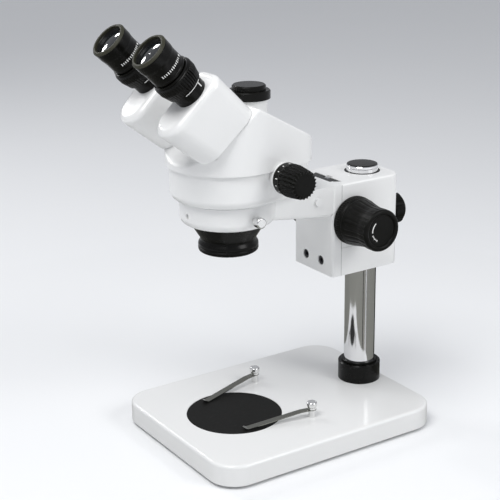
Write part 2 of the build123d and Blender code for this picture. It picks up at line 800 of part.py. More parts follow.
# ---------------------------------------------------------------- zoom head housings
def head_outline(grow):
    """Plan of the head: round in front, square behind, moved outwards by grow."""
    corner_x = head_rear_half - head_corner
    corner_y = axis_y + head_rear - head_corner
    circles = [Pos(0, axis_y) * Rot(0, 0, 90) * Circle(head_radius + grow)]
    circles += [Pos(side * corner_x, corner_y) * Circle(head_corner + grow) for side in sides]
    edges = [edge for circle in circles for edge in circle.edges()]
    return make_hull(edges)


def zoom_boss(low, high):
    """Side bosses for the zoom shaft, limited to one housing's heights."""
    bosses = rod_x(zoom_boss_radius, -zoom_boss_face, zoom_boss_face, zoom_y, zoom_height)
    return bosses & block_between(-100, 100, zoom_y - 40, zoom_y + 40, low, high)


def body_boss_places():
    """Centres of the bosses that join the two housings."""
    rear_y = axis_y + body_boss_reach
    return [(body_boss_half, rear_y), (-body_boss_half, rear_y), (0, axis_y - body_boss_front)]


def zoom_body():
    shell = extrude(Pos(0, 0, head_bottom) * head_outline(0), head_seam - head_bottom)
    shell = fillet(shell.faces().sort_by(Axis.Z)[0].edges(), head_edge_round)
    shell += zoom_boss(head_bottom, head_seam)
    shell += disc(neck_radius, neck_bottom, head_bottom + 1, 0, axis_y)
    shell -= extrude(Pos(0, 0, head_bottom + head_floor) * head_outline(-head_wall), head_seam)
    for x, y in body_boss_places():
        shell += disc(body_boss_radius, head_bottom + head_floor - 1, head_seam, x, y)
        shell -= disc(body_screw_radius + held_fit, head_bottom - 1, head_seam + 1, x, y)
        shell -= disc(body_screw_head + 0.2, head_bottom - 1, head_bottom + 4, x, y)
    shell -= disc(neck_bore, neck_bottom - 1, head_bottom + head_floor + 1, 0, axis_y)
    shell -= rod_x(zoom_shaft_radius + slide_fit, -100, 100, zoom_y, zoom_height)
    for side in sides:
        shell -= disc(rod_radius + held_fit, head_bottom + 1, head_bottom + head_floor + 1,
                      side * rod_half, rod_y)
    return shell


def cover_volume(inset):
    """Wedge: tilted face in front, top that falls to the rear, with every wall moved in by inset."""
    low = head_seam + seam_gap
    volume = extrude(Pos(0, 0, low) * head_outline(cover_overhang - inset), 90)
    tilted = eye_plane(0, 0, cover_tilt_offset - inset)
    volume = split(volume, bisect_by=tilted, keep=Keep.BOTTOM)
    rear_y = axis_y + head_rear + cover_overhang
    slope = math.radians(cover_rear_slope)
    normal = (0, math.sin(slope), math.cos(slope))
    corner = (0, rear_y - normal[1] * inset, cover_rear_top - normal[2] * inset)
    top = Plane(origin=corner, x_dir=(1, 0, 0), z_dir=normal)
    return split(volume, bisect_by=top, keep=Keep.BOTTOM)


def top_cover():
    shell = cover_volume(0)
    rounded = shell.edges().filter_by(lambda e: e.center().Z > cover_rear_top - 2
                                      or e.geom_type == GeomType.ELLIPSE)
    shell = fillet(rounded, cover_edge_round)
    shell += zoom_boss(head_seam + seam_gap, head_seam + 40)
    shell -= cover_volume(head_wall)
    for x, y in body_boss_places():
        boss = disc(body_boss_radius, head_seam + seam_gap, cover_rear_top + head_radius, x, y)
        shell += boss & cover_volume(head_wall / 2)
        shell -= disc(body_screw_radius + held_fit, head_seam, head_seam + body_boss_rise - 2, x, y)
    for side in sides:
        plane = eye_plane(side * pivot_half, pivot_line, cover_tilt_offset - 12)
        shell -= extrude(plane * Circle(pod_spigot_radius + slide_fit), 24)
    shell -= disc(port_radius + held_fit, port_bottom, port_top, 0, port_y)
    shell -= rod_x(zoom_shaft_radius + slide_fit, -100, 100, zoom_y, zoom_height)
    return shell


def objective_housing():
    """Black cone with a waist and a flared end that takes screw-in lenses and a ring light."""
    low = objective_bottom
    waist = objective_waist_height
    wall = objective_wall
    thread_end = low + filter_thread_length
    points = [(filter_thread_radius, low), (objective_flare_radius - 1.4, low),
              (objective_flare_radius, low + 2),
              (objective_flare_radius, low + 8), (objective_waist_radius, waist),
              (objective_top_radius, ring_bottom), (objective_top_radius, neck_bottom),
              (objective_top_radius - wall - 1, neck_bottom), (objective_top_radius - wall - 1, ring_bottom),
              (objective_waist_radius - wall, waist + 1), (objective_waist_radius - wall, thread_end),
              (filter_thread_radius, thread_end)]
    return Pos(0, axis_y, 0) * turned(points)


def channel_places():
    """Centres of the two light paths."""
    return [(side * channel_spread, axis_y) for side in sides]


def objective_plate():
    low = neck_bottom
    plate = disc(neck_bore - held_fit, low, low + lens_plate_thickness, 0, axis_y)
    for x, y in channel_places():
        plate -= disc(lens_seat_radius + held_fit, low - 1, low + lens_plate_thickness + 1, x, y)
    return plate


def lens_pair(radius, height):
    """Two lenses centred on the light paths at one height."""
    return Compound([Pos(x, y, height) * lens(radius, lens_edge, lens_bulge) for x, y in channel_places()])


def objective_lenses():
    return lens_pair(lens_seat_radius, neck_bottom + lens_plate_thickness / 2)


def guide_rods():
    rods = [disc(rod_radius, head_bottom + 1, rod_top, side * rod_half, rod_y) for side in sides]
    return Compound(rods)


def rod_bridge():
    """Bar that ties the guide rods' upper ends."""
    low = rod_top - rod_bridge_thickness
    bar = block_between(-rod_half, rod_half, rod_y - rod_lug_radius, rod_y + rod_lug_radius, low, rod_top)
    for side in sides:
        bar += disc(rod_lug_radius, low, rod_top, side * rod_half, rod_y)
        bar -= disc(rod_radius + held_fit, low - 1, rod_top + 1, side * rod_half, rod_y)
    return bar


def body_screws():
    screws = []
    head_top = head_bottom + 4
    for x, y in body_boss_places():
        shank = disc(body_screw_radius, head_top, head_seam + body_boss_rise - 3, x, y)
        screws.append(shank + socket_head(body_screw_head, head_bottom + 1.2, head_top, x, y))
    return Compound(screws)


# ---------------------------------------------------------------- zoom drive
def zoom_shaft():
    shaft = rod_x(zoom_shaft_radius, -zoom_shaft_half, zoom_shaft_half, zoom_y, zoom_height)
    return shaft + pinion_solid(zoom_module, zoom_teeth, zoom_pinion_half, zoom_y, zoom_height)


def zoom_knob(side):
    inner = side * zoom_knob_inner
    outer = inner + side * zoom_knob_length
    bore = zoom_shaft_radius + held_fit
    shaft_end = side * zoom_shaft_half
    return turned_x([(bore, inner), (zoom_knob_radius - 0.8, inner), (zoom_knob_radius, inner + side * 0.8),
                     (zoom_knob_radius, inner + side * 12), (zoom_knob_tip_radius, outer - side * 1.2),
                     (zoom_knob_tip_radius - 1.2, outer), (0, outer), (0, shaft_end), (bore, shaft_end)],
                    zoom_y, zoom_height)


def zoom_carriage():
    """Plate with two lens cells, two rod guides and a toothed leg."""
    low = carriage_height
    high = low + carriage_thickness
    rack_y = zoom_y - zoom_pitch_radius
    root = (tooth_height_share + 0.25) * zoom_module
    leg_front = rack_y - root - carriage_leg_back
    plate = block_between(-rod_half, rod_half, leg_front - 4, rod_y + 3, low, high)
    plate += block_between(-channel_spread, channel_spread, axis_y - 6, leg_front, low, high)
    for side in sides:
        plate += disc(rod_lug_radius, low - 3, high + 3, side * rod_half, rod_y)
    for x, y in channel_places():
        plate += disc(carriage_cell_radius, high - carriage_cell_height, high, x, y)
        plate -= disc(lens_seat_radius + held_fit, high - carriage_cell_height - 1, high + 1, x, y)
    for side in sides:
        plate -= disc(rod_radius + slide_fit, low - 5, high + 5, side * rod_half, rod_y)
    return plate + rack_solid(zoom_module, carriage_leg_half, rack_y, zoom_height, carriage_leg_bottom, high,
                              carriage_leg_back)


def zoom_lenses():
    return lens_pair(lens_seat_radius, carriage_height)


# ---------------------------------------------------------------- eye side
def pod_outline(side, along, drop, shrink):
    """Outline round the eye tube and the pod's lower end, on a plane square to the eye tubes."""
    low = Pos(side * pivot_half, eye_line - drop) * Rot(0, 0, 90) * Circle(pod_low_radius - shrink)
    edges = list(low.edges())
    for x in (-pod_top_half, pod_top_half):
        corner = Pos(side * eye_half + x, eye_line + pod_top_rise) * Rot(0, 0, -90)
        edges += (corner * Circle(pod_top_radius - shrink)).edges()
    return eye_plane(0, 0, along) * make_hull(edges)


def pod_volume(side, rear, front, shrink):
    """Pod between two planes, with its walls moved in by shrink."""
    taper = (pod_front_drop - pod_rear_drop) / (pod_face - pod_rear)
    rear_drop = pod_rear_drop + taper * (rear - pod_rear)
    front_drop = pod_rear_drop + taper * (front - pod_rear)
    return loft([pod_outline(side, rear, rear_drop, shrink), pod_outline(side, front, front_drop, shrink)])


def pod(side):
    housing = pod_volume(side, pod_rear, pod_face, 0)
    front = housing.faces().sort_by(Axis((0, 0, 0), (0, -tilt_sin, tilt_cos)))[-1]
    housing = fillet(front.edges(), pod_edge_round)
    inner_start = pod_rear + pod_wall
    housing -= pod_volume(side, inner_start, pod_face - pod_wall, pod_wall)
    pivot = eye_plane(side * pivot_half, pivot_line, cover_tilt_offset - 5)
    housing += extrude(pivot * Circle(pod_spigot_radius), inner_start - cover_tilt_offset + 5)
    housing -= extrude(pivot * Circle(pod_spigot_bore), 12)
    eye = eye_plane(side * eye_half, eye_line, pod_face - 10)
    return housing - extrude(eye * Circle(eye_bore_radius + held_fit), 20)


def prism(side):
    """Rhomb prism that carries the light from the pivot to the eye tube."""
    low = pivot_line - prism_half
    rise = pivot_drop
    points = [(low, prism_start), (low + 2 * prism_half, prism_start),
              (low + 2 * prism_half + rise, prism_start + rise), (low + rise, prism_start + rise)]
    corners = []
    for line, along in points:
        corners.append((side * (eye_half - pivot_shift / 2) - prism_half, line * tilt_cos - along * tilt_sin,
                        line * tilt_sin + along * tilt_cos))
    return extrude(make_face(Polyline(*corners, close=True)), 2 * prism_half, dir=(1, 0, 0))


def eye_sleeve(side):
    """Tube on the pod: a narrow neck that shows, and a wider seat for the carrier inside the diopter ring."""
    neck_end = pod_face + sleeve_neck_length
    bore = carrier_radius + slide_fit
    return eye_turned(side * eye_half, eye_line, [
        (eye_bore_radius - 2, pod_face - pod_wall), (eye_bore_radius, pod_face - pod_wall),
        (eye_bore_radius, pod_face), (sleeve_neck_radius, pod_face), (sleeve_neck_radius, neck_end),
        (sleeve_radius, neck_end), (sleeve_radius, sleeve_top), (bore, sleeve_top),
        (bore, neck_end + sleeve_web), (eye_bore_radius - 2, neck_end + sleeve_web)])


def diopter_tube(side):
    flange = diopter_top + face_gap
    top = flange + carrier_flange_length
    bore = barrel_radius + slide_fit
    return eye_turned(side * eye_half, eye_line, [
        (bore, carrier_bottom), (carrier_radius, carrier_bottom), (carrier_radius, flange),
        (carrier_flange_radius, flange), (carrier_flange_radius, top), (bore, top)])


def diopter_ring(side):
    lip = diopter_top - ring_lip_length
    return eye_turned(side * eye_half, eye_line, [
        (diopter_wall_inner, diopter_bottom), (diopter_low_radius, diopter_bottom),
        (diopter_radius, diopter_bottom + diopter_taper), (diopter_radius, diopter_top - 1.5),
        (diopter_radius - 1.5, diopter_top), (carrier_radius + slide_fit, diopter_top),
        (carrier_radius + slide_fit, lip), (diopter_wall_inner, lip)])


def eyepiece(side):
    shoulder = diopter_top + face_gap + carrier_flange_length + face_gap
    bore = barrel_radius - barrel_wall
    lens_seat = eyepiece_top - cup_depth - lens_edge
    return eye_turned(side * eye_half, eye_line, [
        (bore, barrel_bottom), (barrel_radius, barrel_bottom), (barrel_radius, shoulder),
        (eyepiece_radius, shoulder), (eyepiece_radius, rim_start - 1.5), (rim_radius, rim_start),
        (rim_radius, eyepiece_top - 1.2), (rim_radius - 1.2, eyepiece_top), (cup_radius, eyepiece_top),
        (eye_lens_radius + held_fit, eyepiece_top - cup_depth), (eye_lens_radius + held_fit, lens_seat),
        (bore, lens_seat - 1)])


def eye_lens(side):
    """Eye lens under the cup and field lens low in the barrel."""
    upper = eye_plane(side * eye_half, eye_line, eyepiece_top - cup_depth - lens_edge / 2)
    lower = eye_plane(side * eye_half, eye_line, barrel_bottom + 4)
    field_radius = barrel_radius - barrel_wall - held_fit
    return Compound([upper.location * lens(eye_lens_radius, lens_edge, lens_bulge),
                     lower.location * lens(field_radius, lens_edge, lens_bulge)])


# ---------------------------------------------------------------- third port
def port_tube():
    tube = disc(port_radius, port_bottom, port_top, 0, port_y)
    return tube - disc(port_radius - port_wall, port_bottom - 1, port_top + 1, 0, port_y)


def port_cap():
    flange_low = port_top + 0.2
    flange_high = flange_low + port_cap_flange_height
    disc_high = flange_high + port_cap_disc_height
    plug = port_radius - port_wall - slide_fit
    return Pos(0, port_y, 0) * turned([
        (0, port_top - port_cap_plug_length), (plug, port_top - port_cap_plug_length), (plug, flange_low),
        (port_cap_flange_radius, flange_low), (port_cap_flange_radius, flange_high - 1),
        (port_cap_flange_radius - 1, flange_high), (port_cap_disc_radius, flange_high),
        (port_cap_disc_radius, disc_high - 1.2), (port_cap_disc_radius - 1.2, disc_high), (0, disc_high)])


# ---------------------------------------------------------------- every node
nodes = {
    "base_plate": base_plate(), "base_feet": base_feet(), "stage_plate": stage_plate(),
    "clip_posts": clip_posts(), "clip_spacers": clip_spacers(), "pillar": pillar(),
    "pillar_collar": pillar_collar(), "pillar_cap": pillar_cap(), "pillar_bolt": pillar_bolt(),
    "bore_liner": bore_liner(), "focus_block": focus_block(), "gib_strip": gib_strip(),
    "pinion_bushes": pinion_bushes(), "clamp_plug": clamp_plug(), "clamp_stud": clamp_stud(),
    "clamp_knob": clamp_knob(), "pinion_shaft": pinion_shaft(), "tension_ring": tension_ring(),
    "focus_knob_caps": focus_knob_caps(), "head_bracket": head_bracket(), "dovetail_slide": dovetail_slide(),
    "focus_rack": focus_rack(), "plate_screws": plate_screws(), "bracket_screws": bracket_screws(),
    "thumb_plug": thumb_plug(), "thumb_screw": thumb_screw(), "zoom_body": zoom_body(),
    "top_cover": top_cover(), "objective_housing": objective_housing(), "objective_plate": objective_plate(),
    "objective_lenses": objective_lenses(), "guide_rods": guide_rods(), "rod_bridge": rod_bridge(),
    "body_screws": body_screws(), "zoom_shaft": zoom_shaft(), "zoom_carriage": zoom_carriage(),
    "zoom_lenses": zoom_lenses(), "port_tube": port_tube(), "port_cap": port_cap(),
}
for side, word in ((1, "right"), (-1, "left")):
    nodes["clip_leaf_" + word] = clip_leaf(side)
    nodes["focus_knob_" + word] = focus_knob(side)
    nodes["zoom_knob_" + word] = zoom_knob(side)
    nodes["pod_" + word] = pod(side)
    nodes["prism_" + word] = prism(side)
    nodes["eye_sleeve_" + word] = eye_sleeve(side)
    nodes["diopter_tube_" + word] = diopter_tube(side)
    nodes["diopter_ring_" + word] = diopter_ring(side)
    nodes["eyepiece_" + word] = eyepiece(side)
    nodes["eye_lens_" + word] = eye_lens(side)

os.makedirs("parts", exist_ok=True)
for name, shape in nodes.items():
    export_step(shape, "parts/" + name + ".step")
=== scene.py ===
import json
import math

import bmesh
import bpy
from mathutils import Matrix, Vector


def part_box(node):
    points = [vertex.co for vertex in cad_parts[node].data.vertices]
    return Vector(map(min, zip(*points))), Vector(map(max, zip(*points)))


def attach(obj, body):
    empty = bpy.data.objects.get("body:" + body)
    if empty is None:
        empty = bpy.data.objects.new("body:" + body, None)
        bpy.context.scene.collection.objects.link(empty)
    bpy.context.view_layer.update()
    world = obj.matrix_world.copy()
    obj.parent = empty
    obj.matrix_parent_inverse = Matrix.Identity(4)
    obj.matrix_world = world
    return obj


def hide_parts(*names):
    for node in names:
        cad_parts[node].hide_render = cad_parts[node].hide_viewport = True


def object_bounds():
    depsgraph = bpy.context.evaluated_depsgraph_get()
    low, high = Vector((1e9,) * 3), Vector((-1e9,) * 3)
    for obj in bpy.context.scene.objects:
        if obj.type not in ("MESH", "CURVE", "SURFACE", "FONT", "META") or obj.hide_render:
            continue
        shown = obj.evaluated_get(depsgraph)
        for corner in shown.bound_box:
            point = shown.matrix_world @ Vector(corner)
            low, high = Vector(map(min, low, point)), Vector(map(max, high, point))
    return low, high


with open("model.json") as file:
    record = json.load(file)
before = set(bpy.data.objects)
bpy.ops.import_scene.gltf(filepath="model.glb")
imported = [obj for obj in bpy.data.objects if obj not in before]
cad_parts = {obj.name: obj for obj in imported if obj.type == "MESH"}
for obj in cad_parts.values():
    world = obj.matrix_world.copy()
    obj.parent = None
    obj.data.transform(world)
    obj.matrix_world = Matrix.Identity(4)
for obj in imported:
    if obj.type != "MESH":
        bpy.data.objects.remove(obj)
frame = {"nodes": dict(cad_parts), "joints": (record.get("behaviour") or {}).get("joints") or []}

cad_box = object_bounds()
nodes = frame["nodes"]
joints = {joint["name"]: joint for joint in frame["joints"]}


# ------------------------------------------------------------------ base plate
# Cast iron slab, ground flat, filled and sprayed with white enamel that is stoved hard.  The pillar,
# the stage plate and the clip posts all sit in it.
class Value:
    """A socket inside a finish.  Arithmetic on it adds Math nodes."""

    def __init__(self, finish, socket):
        self.finish = finish
        self.socket = socket

    def maths(self, operation, *values):
        return self.finish.node("ShaderNodeMath", {"operation": operation}, dict(enumerate(values)))

    def __add__(self, other):
        return self.maths("ADD", self, other)

    __radd__ = __add__

    def __sub__(self, other):
        return self.maths("SUBTRACT", self, other)

    def __rsub__(self, other):
        return self.maths("SUBTRACT", other, self)

    def __mul__(self, other):
        return self.maths("MULTIPLY", self, other)

    __rmul__ = __mul__


class Finish:
    """A material that ends in one Principled surface."""

    def __init__(self, name, **surface_values):
        self.material = bpy.data.materials.new(name)
        self.material.use_nodes = True
        self.tree = self.material.node_tree
        self.tree.nodes.clear()
        self.surface = self.tree.nodes.new("ShaderNodeBsdfPrincipled")
        output = self.tree.nodes.new("ShaderNodeOutputMaterial")
        self.tree.links.new(self.surface.outputs[0], output.inputs[0])
        self.place = self.node("ShaderNodeTexCoord", output="Object")
        self.set(**surface_values)

    def feed(self, node, values):
        for name, value in values.items():
            if isinstance(value, Value):
                self.tree.links.new(value.socket, node.inputs[name])
            else:
                node.inputs[name].default_value = value

    def set(self, **values):
        self.feed(self.surface, {name.replace("_", " "): value for name, value in values.items()})

    def node(self, kind, settings=None, values=None, output=0):
        made = self.tree.nodes.new(kind)
        for name, value in (settings or {}).items():
            if name == "stops":
                for element, (position, level) in zip(made.color_ramp.elements, value):
                    element.position = position
                    element.color = (level, level, level, 1)
            else:
                setattr(made, name, value)
        self.feed(made, values or {})
        return Value(self, made.outputs[output])

    def noise(self, scale, detail, place=None):
        """Noise from 0 to 1 whose grains are about 1 / scale metres."""
        return self.node("ShaderNodeTexNoise", {}, {"Vector": place or self.place, "Scale": scale,
                                                    "Detail": detail, "Roughness": 0.55})

    def stretched(self, x, y, z):
        """Object coordinates scaled differently along each axis."""
        return self.node("ShaderNodeVectorMath", {"operation": "MULTIPLY"}, {0: self.place, 1: (x, y, z)})

    def steps(self, value, low, high):
        """Ramp from 0 at low to 1 at high."""
        return self.node("ShaderNodeMapRange", {"clamp": True}, {0: value, 1: low, 2: high, 3: 0.0, 4: 1.0})

    def blend(self, share, first, second):
        """Mix of two colours."""
        return self.node("ShaderNodeMix", {"data_type": "RGBA"}, {0: share, 6: (*first, 1), 7: (*second, 1)},
                         output=2)

    def relief(self, height, depth, strength):
        """Normal of a surface with that height in shares of depth metres."""
        return self.node("ShaderNodeBump", {}, {"Height": height, "Distance": depth, "Strength": strength},
                         output="Normal")


def white_enamel():
    """Stoved enamel: faint orange peel, a slightly uneven tone and a clear gloss."""
    enamel = Finish("white_enamel", Coat_Roughness=0.09, Specular_IOR_Level=0.5)
    tone = enamel.noise(11, 4)
    haze = enamel.noise(55, 5)
    peel = enamel.noise(750, 1)
    enamel.set(Base_Color=enamel.blend(tone, (0.775, 0.78, 0.775), (0.83, 0.83, 0.82)),
               Roughness=0.25 + 0.13 * haze,
               Coat_Weight=0.35 + 0.15 * tone,
               Normal=enamel.relief(peel, 0.00006, 0.55))
    return enamel.material


def coat(finish, *names):
    """Gives CAD nodes a finish in every slot."""
    for name in names:
        mesh = nodes[name].data
        mesh.materials.clear()
        mesh.materials.append(finish)


enamel = white_enamel()
coat(enamel, "base_plate", "focus_block", "head_bracket", "zoom_body", "top_cover", "pod_right", "pod_left",
     "port_tube")


# ------------------------------------------------------------------ feet
# Four feet moulded in soft black rubber and pressed into pockets under the slab.  They keep the stand from
# sliding on the table.
def soft_rubber():
    rubber = Finish("soft_rubber", Specular_IOR_Level=0.35)
    grain = rubber.noise(2600, 3)
    dust = rubber.noise(140, 4)
    rubber.set(Base_Color=rubber.blend(dust, (0.018, 0.018, 0.018), (0.045, 0.044, 0.042)),
               Roughness=0.72 + 0.16 * dust,
               Normal=rubber.relief(grain, 0.00006, 0.7))
    return rubber.material


coat(soft_rubber(), "base_feet")


# ------------------------------------------------------------------ stage plate
# Loose disc of black plastic with a fine satin grain.  Its face carries the hairlines and dust of use.
def stage_black():
    plastic = Finish("stage_black", Specular_IOR_Level=0.15)
    grain = plastic.noise(1500, 2)
    dust = plastic.noise(420, 6)
    scratches = plastic.noise(90, 8, plastic.stretched(30, 1, 1))
    marks = plastic.steps(scratches, 0.62, 0.72)
    wear = 0.35 * marks + 0.12 * dust
    plastic.set(Base_Color=plastic.blend(wear, (0.0035, 0.0035, 0.003), (0.04, 0.04, 0.038)),
                Roughness=0.5 + 0.14 * dust - 0.12 * marks,
                Normal=plastic.relief(grain, 0.00003, 0.5))
    return plastic.material


coat(stage_black(), "stage_plate")


# ------------------------------------------------------------------ pillar
# Steel bar, ground, hard chromed and polished, so it mirrors the room along its length.  A bolt from under
# the slab holds it.
def polished_chrome():
    chrome = Finish("polished_chrome", Metallic=1.0)
    polish = chrome.noise(260, 6, chrome.stretched(1, 1, 9))
    smear = chrome.noise(30, 5)
    chrome.set(Base_Color=chrome.blend(smear, (0.80, 0.80, 0.81), (0.86, 0.86, 0.87)),
               Roughness=0.045 + 0.07 * smear,
               Normal=chrome.relief(polish, 0.000012, 0.35))
    return chrome.material


chrome = polished_chrome()
coat(chrome, "pillar")


# ------------------------------------------------------------------ black turnings
# Pillar collar, objective housing and port cap: aluminium turnings sprayed with smooth black enamel.  The
# housing is a waisted cone whose flared end has a clamping groove outside and a thread inside, and the cap
# only pushes into the upright port.
def black_enamel():
    black = Finish("black_enamel", Coat_Roughness=0.12, Specular_IOR_Level=0.14)
    tone = black.noise(40, 4)
    peel = black.noise(900, 1)
    black.set(Base_Color=black.blend(tone, (0.002, 0.002, 0.0017), (0.005, 0.005, 0.0042)),
              Roughness=0.2 + 0.16 * tone,
              Coat_Weight=0.03 + 0.05 * tone,
              Normal=black.relief(peel, 0.00005, 0.5))
    return black.material


def point_of(joint):
    """A point on a hinge's axis, in metres."""
    return Vector(joints[joint]["pos_m"])


def way_of(joint):
    """A joint's direction."""
    return Vector(joints[joint]["axis"]).normalized()


def reach(node, start, way):
    """Lowest and highest distance of a CAD node's points from start, along a direction."""
    distances = [(vertex.co - start).dot(way) for vertex in nodes[node].data.vertices]
    return min(distances), max(distances)


def softened(profile, corner, steps=4):
    """The same open outline with each inner corner rounded."""
    points = [Vector(point) for point in profile]
    rounded = [points[0]]
    for before, here, after in zip(points, points[1:], points[2:]):
        into = (here - before).length
        out = (after - here).length
        cut = min(corner, into * 0.45, out * 0.45)
        start = here + (before - here) * (cut / into)
        end = here + (after - here) * (cut / out)
        for step in range(steps + 1):
            share = step / steps
            rounded.append(start * (1 - share) ** 2 + here * 2 * share * (1 - share) + end * share ** 2)
    return rounded + [points[-1]]


def divided(profile, longest):
    """The same outline with extra points, so that no stretch is longer than that."""
    points = [Vector(profile[0])]
    for point in profile[1:]:
        point = Vector(point)
        stretch = point - points[-1]
        pieces = max(1, math.ceil(stretch.length / longest))
        first = points[-1]
        points += [first + stretch * (i / pieces) for i in range(1, pieces + 1)]
    return points


def widest(node, start, way, low, high):
    """Largest radius of a CAD node round an axis, between two distances along it."""
    radii = [0.0]
    for vertex in nodes[node].data.vertices:
        offset = vertex.co - start
        along = offset.dot(way)
        if low <= along <= high:
            radii.append((offset - way * along).length)
    return max(radii)


def turned(name, start, way, profile, finish, body, around=128, shape=None, zero=None):
    """Lathe piece.  The profile holds (radius, distance along way from start); a radius of 0 closes an end.
    shape(angle, radius, along) may change a radius, with the angle counted from the direction zero."""
    side = zero or way.orthogonal().normalized()
    other = way.cross(side)
    closed = Vector(profile[0]) == Vector(profile[-1])
    points = []
    rings = []
    for radius, along in profile[:-1] if closed else profile:
        centre = start + way * along
        if radius < 1e-6:
            rings.append([len(points)])
            points.append(centre)
            continue
        rings.append(list(range(len(points), len(points) + around)))
        for step in range(around):
            angle = 2 * math.pi * step / around
            here = shape(angle, radius, along) if shape else radius
            points.append(centre + (side * math.cos(angle) + other * math.sin(angle)) * here)
    if closed:
        rings.append(rings[0])
    faces = []
    for low, high in zip(rings, rings[1:]):
        for step in range(around):
            following = (step + 1) % around
            corners = [low[step % len(low)], low[following % len(low)],
                       high[following % len(high)], high[step % len(high)]]
            face = list(dict.fromkeys(corners))
            if len(face) > 2:
                faces.append(face)
    return fitted(name, points, faces, finish, body)


def fitted(name, points, faces, finish, body):
    """Mesh piece with a smooth surface and sharp arrises, riding on a body."""
    shell = bmesh.new()
    corners = [shell.verts.new(point) for point in points]
    for face in faces:
        shell.faces.new([corners[index] for index in face])
    bmesh.ops.recalc_face_normals(shell, faces=shell.faces)
    mesh = bpy.data.meshes.new(name)
    shell.to_mesh(mesh)
    shell.free()
    mesh.materials.append(finish)
    mesh.polygons.foreach_set("use_smooth", [True] * len(mesh.polygons))
    mesh.set_sharp_from_angle(angle=math.radians(38))
    piece = bpy.data.objects.new(name, mesh)
    bpy.context.scene.collection.objects.link(piece)
    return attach(piece, body)


black = black_enamel()
coat(black, "pillar_collar", "objective_plate", "port_cap")

up = Vector((0, 0, 1))
housing_low, housing_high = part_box("objective_housing")
housing_axis = Vector(((housing_low.x + housing_high.x) / 2, (housing_low.y + housing_high.y) / 2, 0))
housing_top_radius = (housing_high.x - housing_low.x) / 2
flare_radius = 0.0289
waist_radius = 0.0267
waist_rise = 0.0125              # waist above the lower end
waist_wall = 0.0024
rim_length = 0.003               # plain upper end
rim_wall = 0.0034
thread_radius = 0.0236
thread_length = 0.005
thread_pitch = 0.00075
thread_depth = 0.0004
thread_mouth = thread_radius + 0.0002
clamp_groove = flare_radius - 0.0005
cone_top = housing_high.z - rim_length
bore_top = housing_top_radius - rim_wall
bore_waist = waist_radius - waist_wall
low = housing_low.z
thread = []
for turn in range(int(thread_length / thread_pitch)):
    rise = low + 0.0006 + turn * thread_pitch
    thread += [(thread_radius, rise), (thread_radius + thread_depth, rise + thread_pitch / 2)]
outside = [(thread_mouth, low), (flare_radius - 0.0022, low), (flare_radius - 0.0004, low + 0.0012),
           (flare_radius, low + 0.0028), (flare_radius, low + 0.0042), (clamp_groove, low + 0.0046),
           (clamp_groove, low + 0.0056), (flare_radius, low + 0.006), (flare_radius - 0.0001, low + 0.0082),
           (waist_radius + 0.0003, low + 0.0113), (waist_radius, low + waist_rise),
           (waist_radius + 0.0006, low + waist_rise + 0.0016), (housing_top_radius, cone_top),
           (housing_top_radius, housing_high.z)]
inside = [(bore_top, housing_high.z), (bore_top, cone_top),
          (bore_waist, low + waist_rise + 0.001), (bore_waist, low + thread_length)]
profile = softened(outside, 0.0008) + inside + thread[::-1] + [(thread_mouth, low)]
housing = turned("objective_housing_turned", housing_axis, up, profile, black, "head", around=160)
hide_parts("objective_housing")


# ------------------------------------------------------------------ pillar cap
# Black plug pressed into the pillar's end.  Its thin head lies on a chromed ring of the pillar's own
# diameter, which shows all round under it.
cap_low, cap_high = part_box("pillar_cap")
pillar_low, pillar_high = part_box("pillar")
pillar_radius = (pillar_high.x - pillar_low.x) / 2
pillar_axis = Vector((0, 0, 0))
plug_radius = (cap_high.x - cap_low.x) / 2 - 0.0002
disc_radius = pillar_radius - 0.0007
disc_thickness = 0.0007
band_top = cap_high.z - disc_thickness
band_bottom = pillar_high.z + 0.00004
band_bore = plug_radius - 0.002
profile = [(band_bore, band_bottom), (pillar_radius, band_bottom), (pillar_radius, band_top - 0.0005),
           (pillar_radius - 0.0004, band_top), (band_bore, band_top), (band_bore, band_bottom)]
band = turned("pillar_cap_ring", pillar_axis, up, profile, chrome, "base")
disc_bottom = band_top + 0.00002
profile = [(0, disc_bottom), (disc_radius, disc_bottom), (disc_radius, cap_high.z - 0.0003),
           (disc_radius - 0.0004, cap_high.z - 0.0001), (disc_radius - 0.003, cap_high.z), (0, cap_high.z)]
disc = turned("pillar_cap_disc", pillar_axis, up, profile, black, "base")
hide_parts("pillar_cap")


# ------------------------------------------------------------------ moulded knobs
# Black nylon mouldings with a fine spark-eroded grain.  Long ribs run round the focus knobs and the tension
# ring, and the zoom knobs have hollow flutes.  They are pushed on their shafts.
def moulded_black():
    plastic = Finish("knob_plastic", Specular_IOR_Level=0.14)
    grain = plastic.noise(3200, 2)
    tone = plastic.noise(70, 4)
    rubbed = plastic.steps(plastic.noise(22, 3), 0.45, 0.75)
    plastic.set(Base_Color=plastic.blend(tone, (0.002, 0.002, 0.0016), (0.006, 0.006, 0.0048)),
                Roughness=0.3 + 0.14 * tone - 0.1 * rubbed,
                Normal=plastic.relief(grain, 0.000025, 0.8))
    return plastic.material


def eased(value, low, high):
    """0 below low, 1 above high, smooth between."""
    share = min(max((value - low) / (high - low), 0.0), 1.0)
    return share * share * (3 - 2 * share)


def between(along, low, high, fade):
    """1 from low to high, 0 outside, with a smooth run-out at both ends."""
    return eased(along, low, low + fade) * (1 - eased(along, high - fade, high))


def ribbed(count, depth, low, high, fade, width):
    """Shape with raised ribs from low to high: between them the surface is lower by depth.  A greater width
    leaves narrower ribs."""
    def shape(angle, radius, along):
        wave = 0.5 + 0.5 * math.cos(count * angle)
        groove = 1 - eased(wave, width - 0.22, width + 0.22)
        return radius - depth * groove * between(along, low, high, fade)
    return shape


def fluted(count, depth, low, high, fade):
    """Shape with hollow flutes that meet in narrow ridges."""
    def shape(angle, radius, along):
        hollow = abs(math.sin(count * angle / 2)) ** 0.75
        return radius - depth * hollow * between(along, low, high, fade)
    return shape


